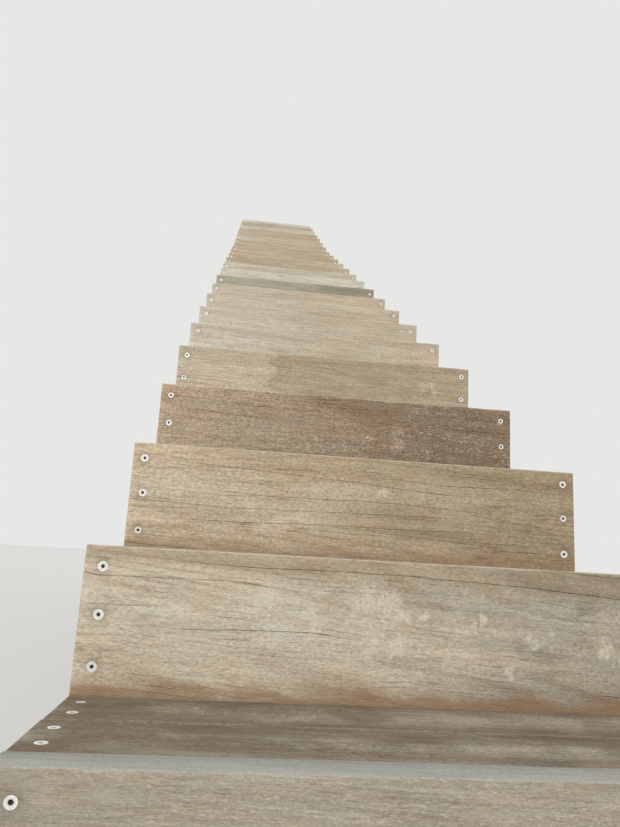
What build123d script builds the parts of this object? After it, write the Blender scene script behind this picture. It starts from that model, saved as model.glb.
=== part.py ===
"""Straight flight of outdoor timber stairs: sawn stringers, riser boards on edge and board treads.

Millimetres. X runs across the flight, Y up the slope and Z up. The origin is on the underside of
the bottom riser, at the middle of its width and thickness. Steps are counted from the bottom one.
"""

from build123d import *
import math
import os

# The flight: it climbs in three stretches, each a little steeper or flatter than the next
stair_width = 870
going = 320
step_counts = (5, 12, 7)

# Boards
riser_height = 200
riser_thickness = 50
riser_proud = 2
tread_thickness = 45
board_gap = 3
arris = 2.5

# How far the foot of a riser reaches below the tread in front of it, in each stretch
foot_drop_lower = 4
foot_drop_middle = 20
foot_drop_upper = 1

# Stringers, measured plumb below the level cuts, and the cleats across their butt joints
stringer_thickness = 50
throat = 165
cleat_length = 560
cleat_depth = 118
cleat_thickness = 38

# The ground is level 0, and every later level is the walking surface of a step
rise_lower = riser_height - riser_proud - foot_drop_lower
rise_middle = riser_height - riser_proud - foot_drop_middle
rise_upper = riser_height - riser_proud - foot_drop_upper
lower_steps, middle_steps, upper_steps = step_counts
rises = [rise_lower] * lower_steps + [rise_middle] * middle_steps + [rise_upper] * upper_steps
rises[0] = riser_height - riser_proud
levels = [sum(rises[:step]) for step in range(len(rises) + 1)]
top_step = len(rises)
joint_steps = (lower_steps + 1, lower_steps + middle_steps + 1)
tread_board = (going - riser_thickness - 3 * board_gap) / 2


def riser_front(step):
    """Y of the face that a climber sees on the riser of a step."""
    return going * (step - 1) - riser_thickness / 2


def riser_back(step):
    """Y of the plumb cut that the riser of a step is fixed to."""
    return riser_front(step) + riser_thickness


def seat_level(step):
    """Z of the level cut that carries the tread of a step."""
    return levels[step] - tread_thickness


def board(depth, height, near_y, low_z):
    """A board across the flight, its four long edges eased."""
    with BuildPart() as plank:
        with BuildSketch(Plane.YZ.offset(-stair_width / 2)):
            with Locations((near_y + depth / 2, low_z + height / 2)):
                Rectangle(depth, height)
        extrude(amount=stair_width)
        chamfer(plank.edges().filter_by(Axis.X), length=arris)
    return plank.part


def riser(step):
    """A riser board on edge, its top just proud of the tread behind it."""
    top = levels[step] + riser_proud
    return board(riser_thickness, riser_height, riser_front(step), top - riser_height)


def tread(step):
    """Two boards laid flat between the back of one riser and the face of the next."""
    front_y = riser_back(step) + board_gap
    rear_y = front_y + tread_board + board_gap
    with BuildPart() as boards:
        add(board(tread_board, tread_thickness, front_y, seat_level(step)))
        add(board(tread_board, tread_thickness, rear_y, seat_level(step)))
    return boards.part


def stringer(first, last, side):
    """A plank cut to a sawtooth under the steps from first to last, its foot cut level at the ground."""
    outline = [(riser_back(first), seat_level(first - 1) - throat)]
    for step in range(first, last + 1):
        outline.append((riser_back(step), seat_level(step)))
        outline.append((riser_back(step + 1), seat_level(step)))
    outline.append((riser_back(last + 1), seat_level(last) - throat))
    with BuildPart() as plank:
        with BuildSketch(Plane.YZ.offset(side * stair_width / 2)):
            with BuildLine():
                Polyline(*outline, close=True)
            make_face()
        extrude(amount=-side * stringer_thickness)
        split(bisect_by=Plane.XY, keep=Keep.TOP)
    return plank.part


def cleats(step):
    """A pair of short planks on the inner faces of the stringers, across the joint below a step."""
    joint_y = riser_back(step)
    joint_z = seat_level(step - 1) - throat / 2
    slope = math.degrees(math.atan2(levels[step] - levels[step - 2], 2 * going))
    inner_x = stair_width / 2 - stringer_thickness
    with BuildPart() as pair:
        with BuildSketch(Plane.YZ.offset(inner_x - cleat_thickness)):
            with Locations(Location((joint_y, joint_z), slope)):
                Rectangle(cleat_length, cleat_depth)
        extrude(amount=cleat_thickness)
        mirror(about=Plane.YZ)
    return pair.part


def save(piece, label):
    """Names a finished piece and writes its file."""
    piece.label = label
    export_step(piece, f"parts/{label}.step")


os.makedirs("parts", exist_ok=True)

for step in range(1, top_step + 1):
    save(riser(step), f"riser_{step:02d}")
    save(tread(step), f"tread_{step:02d}")

lower_joint, upper_joint = joint_steps
lengths = (
    ("lower", 1, lower_joint - 1),
    ("middle", lower_joint, upper_joint - 1),
    ("upper", upper_joint, top_step),
)
for name, first, last in lengths:
    save(stringer(first, last, -1), f"stringer_left_{name}")
    save(stringer(first, last, 1), f"stringer_right_{name}")

save(cleats(lower_joint), "cleats_lower")
save(cleats(upper_joint), "cleats_upper")
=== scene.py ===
"""Looks of the outdoor timber stair flight: weathered boards, cut stringers and galvanised screws."""

import math
import random
from typing import NamedTuple

import bmesh
import bpy
from bpy.props import FloatProperty, FloatVectorProperty, IntProperty, PointerProperty
from mathutils import Matrix, Vector, noise
from mathutils.geometry import delaunay_2d_cdt
from mathutils.kdtree import KDTree


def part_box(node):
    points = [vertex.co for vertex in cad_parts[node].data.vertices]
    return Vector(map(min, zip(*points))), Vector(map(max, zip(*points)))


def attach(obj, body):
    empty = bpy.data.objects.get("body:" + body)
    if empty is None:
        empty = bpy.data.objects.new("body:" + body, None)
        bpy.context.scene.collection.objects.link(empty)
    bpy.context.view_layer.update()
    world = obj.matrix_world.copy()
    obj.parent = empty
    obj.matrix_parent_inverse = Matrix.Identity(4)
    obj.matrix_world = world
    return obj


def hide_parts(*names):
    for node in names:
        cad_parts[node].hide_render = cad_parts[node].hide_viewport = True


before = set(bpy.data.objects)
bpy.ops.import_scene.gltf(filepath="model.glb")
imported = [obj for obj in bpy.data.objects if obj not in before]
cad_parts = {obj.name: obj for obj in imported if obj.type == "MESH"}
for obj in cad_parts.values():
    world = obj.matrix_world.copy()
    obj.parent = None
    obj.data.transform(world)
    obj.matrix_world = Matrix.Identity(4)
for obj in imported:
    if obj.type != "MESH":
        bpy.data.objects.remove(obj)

bl_info = {
    "name": "Timber Stair Flight",
    "version": (1, 0, 0),
    "blender": (4, 5, 0),
    "location": "3D View > Sidebar > Stairs",
    "description": "Dresses a straight flight of outdoor timber steps",
    "category": "Object",
}

BODY = "root"
RISERS, TREADS, STRINGERS, CLEATS = (
    sorted(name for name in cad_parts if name.startswith(kind))
    for kind in ("riser_", "tread_", "stringer_", "cleats_")
)
MM = 0.001


# Sizes and colours that a user would change

def linear(*channels):
    """A colour written as 0 to 255 on screen, as the linear values that a shader takes."""
    return tuple(((c / 255 + 0.055) / 1.055) ** 2.4 if c > 10 else c / 3295 for c in channels)


def millimetres(name, description, size):
    """A length that a user can change, with its default in millimetres."""
    return FloatProperty(name=name, description=description, default=size * MM, unit="LENGTH")


def degrees(name, description, turn):
    """An angle that a user can change, with its default in degrees."""
    return FloatProperty(name=name, description=description, default=math.radians(turn), subtype="ANGLE")


def screen_colour(name, description, *channels):
    """A colour that a user can change, with its default as 0 to 255 on screen."""
    return FloatVectorProperty(name=name, description=description, default=linear(*channels),
                               min=0.0, max=1.0, subtype="COLOR")


class BoardSettings(bpy.types.PropertyGroup):
    """How the timber was sawn and how far wear has rounded it."""

    board_gap: millimetres("Board gap", "Gap between the two boards of a tread", 3)
    arris: millimetres("Arris", "Radius that wear has given the long edges", 1.8)
    wander: millimetres("Edge wander", "How far a sawn edge wanders from straight", 1.2)
    column: millimetres("Column", "Length of one mesh column along a board", 10)
    row: millimetres("Row", "Width of one mesh row across a board's face", 16)
    cell: millimetres("Cell", "Size of the mesh cells on a stringer's side", 22)
    split_width: millimetres("Split width", "Width of a drying split at its middle", 0.8)
    split_depth: millimetres("Split depth", "Depth of a drying split at its middle", 4)
    seed: IntProperty(name="Seed", description="Seed of every board's own wear", default=7)


class ScrewSettings(bpy.types.PropertyGroup):
    """Galvanised screws with a hex socket, driven flush."""

    radius: millimetres("Head radius", "Radius of a screw's head", 7.5)
    socket: millimetres("Socket radius", "Radius of the hex socket's corners", 2.9)
    socket_depth: millimetres("Socket depth", "Depth of the hex socket", 3.2)
    pocket: millimetres("Pocket radius", "Radius of the hole that takes a head", 6.2)
    pocket_depth: millimetres("Pocket depth", "Depth of the hole that takes a head", 6)
    sunk: millimetres("Sunk", "How far a head's ring lies below the sawn size", 0.4)
    inset: millimetres("End inset", "Distance of the screws from a board's end", 25)
    first: millimetres("First screw", "Top screw below a riser's top edge", 28)
    pitch: millimetres("Screw pitch", "Distance from one riser screw to the next", 67)
    stray: millimetres("Stray", "How far a screw strays from its marked place", 2.2)


class ToneSettings(bpy.types.PropertyGroup):
    """Colours that every board or every screw shares."""

    fuzz: screen_colour("Fuzz", "Raised fibres", 222, 212, 194)
    dust: screen_colour("Dust", "Dust dried on a board's middle", 204, 195, 176)
    scuff: screen_colour("Scuffs", "Patches scraped pale", 217, 208, 190)
    mud: screen_colour("Mud", "Mud marks that have dried", 220, 213, 194)
    foot: screen_colour("Foot", "Stain along a riser's foot", 150, 116, 82)
    dirt: screen_colour("Dirt", "Dirt trodden into a tread", 104, 90, 70)
    # Top faces: silver grey, partly weather bleaching and partly a painted skylight sheen
    bleach_and_painted_skylight: screen_colour("Silver", "Top of a board, bleached by the weather", 176, 178, 172)
    # Pale edges: partly wood worn bare, partly a painted highlight along the arrises
    worn: screen_colour("Worn edges", "Edges rubbed down to bare wood", 206, 195, 173)
    tarnish: screen_colour("Tarnish", "Wood stained by the screws", 118, 108, 98)
    check: screen_colour("Checks", "Fine drying checks", 74, 57, 43)
    # Inside of a split: browner inner wood, darkened further as painted shade in the crevice
    split: screen_colour("Splits", "Inside of an open split", 72, 49, 33)
    late_ring: screen_colour("Late rings", "Dark rings of a sawn end", 136, 120, 98)
    early_ring: screen_colour("Early rings", "Pale rings of a sawn end", 160, 146, 124)
    shake: screen_colour("Shakes", "Cracks across the rings of a sawn end", 74, 60, 47)
    # Zinc and grey zinc: near white and mostly unmetallic, partly the zinc's colour and partly a painted
    # sheen
    zinc: screen_colour("Zinc", "Bright grains of a screw's zinc", 250, 249, 244)
    grey_zinc: screen_colour("Grey zinc", "Grey grains of a screw's zinc", 232, 231, 226)
    dull_zinc: screen_colour("Dull zinc", "Zinc that has gone dull", 186, 176, 160)
    # Grime and painted shade, darkest down in a screw's socket
    grime: screen_colour("Grime", "Grime down in a screw's socket", 52, 42, 35)


class StageSettings(bpy.types.PropertyGroup):
    """Camera, lamps and floor."""

    camera_place: FloatVectorProperty(name="Camera place", description="Where the camera stands",
                                      default=(-0.2341, -0.699, 0.3931), subtype="XYZ", unit="LENGTH")
    yaw: degrees("Yaw", "Turn of the view to the right", 5.64)
    pitch: degrees("Pitch", "Tilt of the view upwards", 11.75)
    roll: degrees("Roll", "Lean of the camera", -3.25)
    focal_pixels: FloatProperty(name="Focal length", description="Focal length in pixels of the frame",
                                default=688.5)
    frame_height: IntProperty(name="Frame height", description="Height of the frame in pixels",
                              default=827)
    backdrop: FloatVectorProperty(name="Backdrop", description="Colour seen behind and under the flight",
                                  default=(0.80, 0.80, 0.79), subtype="COLOR")
    ambient: FloatProperty(name="Ambient", description="Strength of the even light", default=0.52)
    key: FloatProperty(name="Key", description="Strength of the key lamp", default=1.95)
    key_colour: FloatVectorProperty(name="Key colour", description="Colour of the key lamp",
                                    default=(1.0, 0.985, 0.96), subtype="COLOR")
    key_way: FloatVectorProperty(name="Key way", description="The way that the key lamp shines",
                                 default=(0.32, 0.86, -0.72), subtype="DIRECTION")
    key_spread: degrees("Key spread", "How much of the sky the key lamp fills", 14)


SETTINGS = {"stair_boards": BoardSettings, "stair_screws": ScrewSettings, "stair_tones": ToneSettings,
            "stair_stage": StageSettings}


# Finishes of the timber: its wood, what the weather did to it, painted light and shade, and how strongly

class Finish(NamedTuple):
    """How one board has weathered, its tones as seen on screen, some of them painted light and shade.

    The wood turns into the other tone at turn_at along the board, by as much as drift and as softly
    as blur. Splits is a number, or each split's path in shares of the board. A mark is its place in the
    same shares, its reach in millimetres and its strength. Lean is the grain's, in degrees. Grit is the
    contrast of the fibres, and fine how much closer than usual they lie.
    """

    wood: tuple
    other: tuple
    drift: float = 0.0
    turn_at: float = 0.5
    blur: float = 0.28
    splits: int | tuple = 2
    checks: float = 0.4
    lean: float = 2.0
    flecks: float = 0.25
    fleck_tone: tuple = (84, 70, 56)
    scuffs: float = 0.3
    dust: float = 0.2
    foot: float = 0.4
    crown: float = 0.0
    crown_tone: tuple = (142, 124, 98)
    figure: float = 0.2
    fuzz: float = 0.2
    warm: float = 0.0
    # share of the pale edge colour: partly wear, partly a painted highlight
    edge: float = 0.45
    marks: tuple = ()
    grit: float = 1.0
    fine: float = 1.0


TWO_LONG_SPLITS = (
    ((-0.6, 0.8), (-0.27, 0.8), (-0.14, 0.744), (-0.1, 0.73)),
    ((-0.36, 0.925), (-0.23, 0.9), (0.03, 0.9), (0.16, 0.88), (0.38, 0.817), (0.6, 0.755)),
)
SIX_SPLITS = (
    ((0.05, 0.26), (0.14, 0.262), (0.33, 0.213)),
    ((-0.43, 0.3), (-0.25, 0.305), (-0.13, 0.325), (0.25, 0.339), (0.33, 0.328)),
    ((-0.6, 0.48), (-0.39, 0.451), (-0.3, 0.438), (-0.13, 0.452), (0.28, 0.472)),
    ((-0.36, 0.6), (-0.2, 0.568), (0.0, 0.579), (0.1, 0.565), (0.32, 0.52)),
    ((-0.45, 0.86), (-0.22, 0.802), (0.0, 0.752), (0.18, 0.697), (0.3, 0.69)),
    ((0.05, 0.818), (0.18, 0.778), (0.4, 0.786)),
)
END_SPLITS = (
    ((-0.6, 0.69), (-0.45, 0.626), (-0.36, 0.593)),
    ((-0.42, 0.73), (-0.31, 0.68), (-0.18, 0.674)),
    ((0.12, 0.637), (0.26, 0.684), (0.33, 0.66), (0.6, 0.68)),
)
FOOT_SPLIT = (
    ((-0.6, 0.53), (-0.37, 0.514), (-0.28, 0.485)),
    ((-0.12, 0.9), (0.02, 0.915), (0.16, 0.905)),
)
MUD_MARKS = (
    (-0.208, 0.71, 34, 0.95), (-0.195, 0.46, 34, 0.95), (-0.134, 0.6, 16, 1.4), (-0.132, 0.52, 16, 1.3),
    (-0.23, 0.62, 16, 1.2), (-0.05, 0.72, 34, 0.85), (-0.01, 0.7, 34, 0.9), (-0.03, 0.45, 22, 1.1),
    (0.005, 0.41, 22, 1.2), (0.013, 0.63, 14, 1.3), (-0.04, 0.34, 12, 1.3), (0.053, 0.61, 10, 1.3),
    (0.132, 0.57, 10, 1.2), (0.15, 0.625, 12, 1.5), (0.228, 0.52, 12, 1.0), (0.24, 0.47, 14, 1.0),
    (0.194, 0.27, 12, 1.1), (0.36, 0.45, 20, 0.9), (0.39, 0.38, 18, 0.9),
)
SCRATCH_MARKS = (
    (0.045, 0.68, 12, 1.0), (0.06, 0.66, 12, 1.0), (0.14, 0.67, 8, 1.0), (-0.21, 0.26, 26, 0.7),
    (-0.17, 0.33, 26, 0.7), (-0.13, 0.38, 26, 0.6), (-0.1, 0.3, 20, 0.7),
)
THIN_MARKS = (
    (0.17, 0.45, 26, 0.5), (0.165, 0.62, 26, 0.45), (0.25, 0.4, 22, 0.45), (-0.15, 0.54, 7, 1.1),
    (0.084, 0.52, 7, 1.1), (-0.25, 0.95, 7, 1.1), (-0.08, 0.38, 7, 1.1),
)
END_MARKS = ((0.365, 0.7, 18, 0.9), (0.375, 0.6, 18, 0.8), (0.335, 0.66, 24, 0.5))
FINISHES = {
    "driftwood": Finish((174, 165, 149), (160, 151, 135), drift=0.2, splits=1, checks=0.1, flecks=0.2,
                        fuzz=0.35, edge=0.1, grit=0.8, fine=1.7),
    "dusty_brown": Finish((206, 194, 172), (155, 147, 133), drift=1.0, turn_at=0.55, blur=0.5, lean=3.5,
                          splits=TWO_LONG_SPLITS, checks=0.4, flecks=0.3, scuffs=0.6, dust=0.9, foot=0.8,
                          crown=0.6, crown_tone=(164, 146, 119), figure=0.4, warm=0.08, marks=MUD_MARKS,
                          grit=0.9),
    "checked_tan": Finish((209, 191, 163), (164, 147, 119), drift=1.0, turn_at=0.49, blur=0.9,
                          splits=SIX_SPLITS, checks=0.5, lean=1.2, scuffs=0.2, dust=0.4, foot=0.5,
                          figure=0.3, warm=0.12, marks=SCRATCH_MARKS, grit=1.25),
    "red_brown": Finish((186, 168, 145), (132, 113, 92), drift=1.0, turn_at=0.35, blur=1.0,
                        splits=END_SPLITS, checks=0.6, flecks=0.3, fleck_tone=(194, 178, 156), lean=1.0,
                        scuffs=0.2, dust=0.05, fuzz=0.45, warm=0.5, marks=THIN_MARKS, grit=2.0),
    # Painted shadow: the sharp step at 0.3 along, from the pale wood to the darker tone, stands in for a
    # shadow edge
    "half_tan": Finish((206, 190, 165), (183, 166, 140), drift=3.0, turn_at=0.3, blur=0.08,
                       splits=FOOT_SPLIT, checks=0.5, dust=0.3, crown=0.2, crown_tone=(150, 136, 116),
                       marks=END_MARKS, grit=1.15),
    "pale_beige": Finish((213, 204, 186), (199, 185, 162), drift=0.8, blur=0.6, splits=1, flecks=0.1,
                         crown=0.25, crown_tone=(168, 158, 140)),
    "light_straw": Finish((209, 198, 178), (198, 184, 160), drift=0.6, blur=0.6, splits=1, flecks=0.12,
                          checks=0.5),
    "straw": Finish((198, 184, 160), (190, 175, 150), drift=0.2, flecks=0.12, crown=0.15,
                    crown_tone=(166, 152, 130)),
    "smeared_grey": Finish((175, 171, 154), (152, 146, 129), drift=0.8, turn_at=0.6, splits=1, flecks=0.3,
                           lean=0.5),
    "bleached": Finish((222, 219, 205), (209, 204, 188), splits=1, flecks=0.1),
    "ashen": Finish((207, 202, 184), (198, 190, 170), splits=1, flecks=0.15),
    "honey": Finish((202, 187, 162), (189, 171, 144), drift=0.2, warm=0.5),
    "last_step": Finish((188, 178, 156), (180, 168, 145), splits=1, crown=0.8, crown_tone=(222, 218, 206)),
    "trodden_grey": Finish((150, 141, 125), (128, 117, 100), flecks=0.6, dust=0.35, foot=0.0),
    "trodden_brown": Finish((146, 132, 112), (122, 107, 88), splits=3, flecks=0.6, dust=0.35, foot=0.0),
    "shaded": Finish((164, 147, 122), (138, 124, 104), splits=4, checks=0.6, flecks=0.3, scuffs=0.0,
                     foot=0.0, lean=0.0),
}
RISER_FINISHES = (
    "driftwood", "dusty_brown", "checked_tan", "red_brown", "half_tan", "pale_beige",
    "pale_beige", "light_straw", "light_straw", "smeared_grey", "bleached", "ashen",
    "straw", "honey", "honey", "straw", "straw", "straw",
    "pale_beige", "straw", "honey", "ashen", "straw", "last_step",
)
TREAD_FINISHES = ("trodden_grey", "trodden_brown", "driftwood")

# Tints, as shares of the red, green and blue below them
WARM_TINT, FIGURE_TINT, PORE_TINT = (1.0, 0.8, 0.66), (0.62, 0.5, 0.42), (0.68, 0.62, 0.57)
MOTTLE_TINTS = (1.02, 0.988, 0.965), (0.98, 1.01, 1.028)


# Nodes

def put(tree, kind, **values):
    """Adds a node, sets its own values, and fills or links its inputs, named in_ and a name or number."""
    node = tree.nodes.new(kind)
    for key, value in values.items():
        if not key.startswith("in_"):
            setattr(node, key, value)
            continue
        name = key.removeprefix("in_")
        socket = node.inputs[int(name)] if name.isdigit() else node.inputs[name.replace("_", " ")]
        if isinstance(value, bpy.types.NodeSocket):
            tree.links.new(value, socket)
        else:
            socket.default_value = value
    return node


def maths(tree, operation, *values):
    """Adds a Math node and gives back its output."""
    inputs = {f"in_{n}": value for n, value in enumerate(values)}
    return put(tree, "ShaderNodeMath", operation=operation, **inputs).outputs[0]


def times(tree, first, second):
    """Multiplies two values."""
    return maths(tree, "MULTIPLY", first, second)


def vector_maths(tree, operation, first, output=0, **others):
    """Adds a Vector Math node and gives back one of its outputs."""
    return put(tree, "ShaderNodeVectorMath", operation=operation, in_0=first, **others).outputs[output]


def parts(tree, vector):
    """The X, Y and Z of a vector, by name."""
    return put(tree, "ShaderNodeSeparateXYZ", in_0=vector).outputs


def ramp(tree, value, low, high, bottom=0.0, top=1.0):
    """Maps a value from low..high to bottom..top, smoothly and without overshoot."""
    node = put(tree, "ShaderNodeMapRange", interpolation_type="SMOOTHSTEP", in_Value=value,
               in_From_Min=low, in_From_Max=high, in_To_Min=bottom, in_To_Max=top)
    return node.outputs["Result"]


def blend(tree, factor, first, second, mode="MIX"):
    """Mixes two colours."""
    node = put(tree, "ShaderNodeMix", data_type="RGBA", blend_type=mode)
    for socket, value in ((node.inputs[0], factor), (node.inputs[6], first), (node.inputs[7], second)):
        if isinstance(value, bpy.types.NodeSocket):
            tree.links.new(value, socket)
        else:
            socket.default_value = value if isinstance(value, (int, float)) else (*value, 1)
    return node.outputs[2]


def clouds(tree, vector, scale, detail=2.0, roughness=0.5, distortion=0.0):
    """Noise of a given scale along each axis."""
    scaled = vector_maths(tree, "MULTIPLY", vector, in_1=scale)
    return put(tree, "ShaderNodeTexNoise", in_Vector=scaled, in_Scale=1.0, in_Detail=detail,
               in_Roughness=roughness, in_Distortion=distortion).outputs["Fac"]


def sway(tree, vector, scale, reach):
    """Pushes a vector about by a soft noise, so that straight grain wanders."""
    push = put(tree, "ShaderNodeTexNoise", in_Vector=vector, in_Scale=scale, in_Detail=2.0)
    centred = vector_maths(tree, "SUBTRACT", push.outputs["Color"], in_1=(0.5, 0.5, 0.5))
    return vector_maths(tree, "ADD", vector, in_1=vector_maths(tree, "SCALE", centred, in_Scale=reach))


def hairlines(tree, vector, pitch, reach, width):
    """Thin lines along X, so far apart on average, that a soft noise spreads unevenly."""
    place = parts(tree, vector)
    across = maths(tree, "ADD", place["Y"], place["Z"])
    uneven = clouds(tree, vector, (0.9 / reach, 0.3 / pitch, 0.3 / pitch), detail=1.0)
    count = maths(tree, "MULTIPLY_ADD", across, 1 / pitch, times(tree, uneven, 3.0))
    return ramp(tree, maths(tree, "PINGPONG", count, 0.5), 0.3 * width / pitch, width / pitch, 1.0, 0.0)


# Shader node groups, each built from its inputs as masks by name

def grain_masks(tree, vector):
    """Grain that runs along X: streaks, short fibres, the growth figure, open pores and raised fibres."""
    place = sway(tree, vector, 2.6, 0.012)
    curled = sway(tree, vector, 42.0, 0.012)
    streak = clouds(tree, place, (4, 75, 75), detail=4.0, roughness=0.7)
    fibre = clouds(tree, place, (150, 400, 400), detail=4.0, roughness=0.8)
    rings = clouds(tree, place, (0.8, 10, 10), detail=1.0)
    lines = maths(tree, "PINGPONG", times(tree, rings, 17.0), 0.5)
    pores = clouds(tree, place, (24, 400, 400), detail=2.0, roughness=0.6)
    fuzz = clouds(tree, curled, (70, 270, 270), detail=2.0, roughness=0.6)
    patches = clouds(tree, vector, (5, 20, 20), detail=2.0)
    return {"Streak": ramp(tree, streak, 0.26, 0.74),
            "Fibre": ramp(tree, fibre, 0.3, 0.7),
            "Figure": ramp(tree, lines, 0.02, 0.3),
            "Pores": ramp(tree, pores, 0.55, 0.68),
            "Fuzz": times(tree, ramp(tree, fuzz, 0.55, 0.66), ramp(tree, patches, 0.35, 0.6))}


def check_masks(tree, vector, amount):
    """Fine drying checks: dark hairlines that follow the grain and break off."""
    place = sway(tree, vector, 9.0, 0.006)
    patches = clouds(tree, vector, (4, 26, 26), detail=2.0)
    limit = maths(tree, "SUBTRACT", 0.72, times(tree, amount, 0.3))
    over = maths(tree, "SUBTRACT", patches, limit)
    broken = times(tree, hairlines(tree, place, 34 * MM, 0.7, 0.55 * MM), ramp(tree, over, 0.0, 0.07))
    crazed = clouds(tree, vector, (11, 30, 30), detail=3.0)
    faint = times(tree, hairlines(tree, place, 9 * MM, 0.2, 0.4 * MM), ramp(tree, crazed, 0.48, 0.64))
    faint = times(tree, faint, maths(tree, "MULTIPLY_ADD", amount, 1.2, 0.15))
    return {"Check": maths(tree, "MAXIMUM", broken, faint)}


def stain_masks(tree, vector, height):
    """Dust, scuffs, mildew flecks, the stain along a foot and the band along a top."""
    drift = clouds(tree, vector, (11, 9, 9), detail=6.0, roughness=0.64, distortion=0.4)
    middle = times(tree, ramp(tree, height, 0.1, 0.45), ramp(tree, height, 0.6, 0.95, 1.0, 0.0))
    blush = clouds(tree, vector, (3, 24, 24), detail=4.0, roughness=0.6)
    scrape = clouds(tree, vector, (100, 64, 64), detail=5.0, roughness=0.74, distortion=0.8)
    crowd = clouds(tree, vector, (7, 12, 12), detail=3.0)
    scuffs = times(tree, ramp(tree, scrape, 0.54, 0.64), ramp(tree, crowd, 0.4, 0.62))
    ragged = clouds(tree, vector, (230, 150, 150), detail=4.0, roughness=0.75, distortion=1.2)
    dots = clouds(tree, vector, (180, 430, 430), detail=2.0, roughness=0.7)
    where = clouds(tree, vector, (6, 18, 18), detail=3.0)
    splash = clouds(tree, vector, (14, 40, 40), detail=4.0, roughness=0.62)
    edge = clouds(tree, vector, (1.6, 26, 26), detail=3.0)
    return {"Dust": times(tree, ramp(tree, drift, 0.37, 0.57), middle),
            "Scuffs": times(tree, scuffs, middle),
            "Flecks": times(tree, ramp(tree, dots, 0.52, 0.64), ramp(tree, where, 0.28, 0.6)),
            "Foot": ramp(tree, maths(tree, "MULTIPLY_ADD", splash, -0.3, height), -0.14, 0.02, 1.0, 0.0),
            "Crown": ramp(tree, maths(tree, "MULTIPLY_ADD", edge, 0.3, height), 0.9, 1.06),
            "Warm": ramp(tree, blush, 0.48, 0.68),
            "Ragged": ramp(tree, ragged, 0.44, 0.6)}


def end_masks(tree, from_pith):
    """End grain: growth rings about the pith and the shakes that open across them."""
    reach = vector_maths(tree, "LENGTH", from_pith, output="Value")
    soft = clouds(tree, from_pith, (26, 26, 26), detail=2.0)
    count = maths(tree, "MULTIPLY_ADD", reach, 290.0, times(tree, soft, 4.0))
    place = parts(tree, from_pith)
    angle = maths(tree, "ARCTAN2", place["Y"], place["X"])
    fan = put(tree, "ShaderNodeCombineXYZ", in_X=angle, in_Y=reach).outputs[0]
    rays = maths(tree, "ABSOLUTE", maths(tree, "SUBTRACT", clouds(tree, fan, (12, 5, 1), detail=1.0), 0.5))
    some = clouds(tree, fan, (4, 12, 1), detail=2.0)
    return {"Rings": ramp(tree, maths(tree, "PINGPONG", count, 0.5), 0.0, 0.5),
            "Shakes": times(tree, ramp(tree, rays, 0.006, 0.03, 1.0, 0.0), ramp(tree, some, 0.5, 0.62))}


def wear_masks(tree, vector, worn):
    """Pale arrises, partly worn and partly a painted highlight, broken up so that they don't look drawn."""
    chips = clouds(tree, vector, (26, 70, 70), detail=3.0, roughness=0.6)
    return {"Edge": times(tree, worn, ramp(tree, chips, 0.34, 0.6, 0.25, 1.0))}


MASKS = {
    "Sawn grain": (grain_masks, {}),
    "Drying checks": (check_masks, {"Amount": 0.5}),
    "Weather stains": (stain_masks, {"Height": 0.5}),
    "End grain": (end_masks, {}),
    "Edge wear and highlight": (wear_masks, {"Worn": 0.0}),
}


def mask_group(name):
    """The shader group of one effect, made once: a vector and named values in, named masks out."""
    if name in bpy.data.node_groups:
        return bpy.data.node_groups[name]
    build, inputs = MASKS[name]
    tree = bpy.data.node_groups.new(name, "ShaderNodeTree")
    tree.interface.new_socket("Vector", in_out="INPUT", socket_type="NodeSocketVector")
    for label, default in inputs.items():
        socket = tree.interface.new_socket(label, in_out="INPUT", socket_type="NodeSocketFloat")
        socket.default_value = default
    given = tree.nodes.new("NodeGroupInput").outputs
    masks = build(tree, *(given[label] for label in ("Vector", *inputs)))
    for label in masks:
        tree.interface.new_socket(label, in_out="OUTPUT", socket_type="NodeSocketFloat")
    result = tree.nodes.new("NodeGroupOutput")
    for label, mask in masks.items():
        tree.links.new(mask, result.inputs[label])
    return tree


# Materials

def new_material(name):
    """A material, its node tree and its shader."""
    material = bpy.data.materials.new(name)
    material.use_nodes = True
    return material, material.node_tree, material.node_tree.nodes["Principled BSDF"]


def mark_mask(tree, place, marks, ragged):
    """Marks at given places on a riser's face, with ragged edges."""
    low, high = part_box(RISERS[0])
    length, width = high.x - low.x, high.z - low.z
    flat = sway(tree, vector_maths(tree, "MULTIPLY", place, in_1=(length, width, 0.0)), 55.0, 0.035)
    near = 0.0
    for along, across, reach, strength in marks:
        centre = ((along + 0.5) * length, across * width, 0.0)
        gap = vector_maths(tree, "DISTANCE", flat, output="Value", in_1=centre)
        fall = maths(tree, "MULTIPLY_ADD", gap, -strength / (reach * MM), strength)
        near = maths(tree, "MAXIMUM", fall, near)
    return ramp(tree, times(tree, near, maths(tree, "ADD", ragged, 0.35)), 0.04, 0.75)


def end_cut(tree, from_pith, tones):
    """Colour of a sawn end: its rings, its pores and its shakes."""
    butt = put(tree, "ShaderNodeGroup", node_tree=mask_group("End grain"), in_Vector=from_pith).outputs
    sawn = blend(tree, butt["Rings"], tones.late_ring, tones.early_ring)
    pores = clouds(tree, from_pith, (300, 300, 300), detail=3.0, roughness=0.7)
    sawn = blend(tree, 1.0, sawn, ramp(tree, pores, 0.3, 0.7, 0.78, 1.16), mode="MULTIPLY")
    return blend(tree, times(tree, butt["Shakes"], 0.6), sawn, tones.shake)


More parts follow.
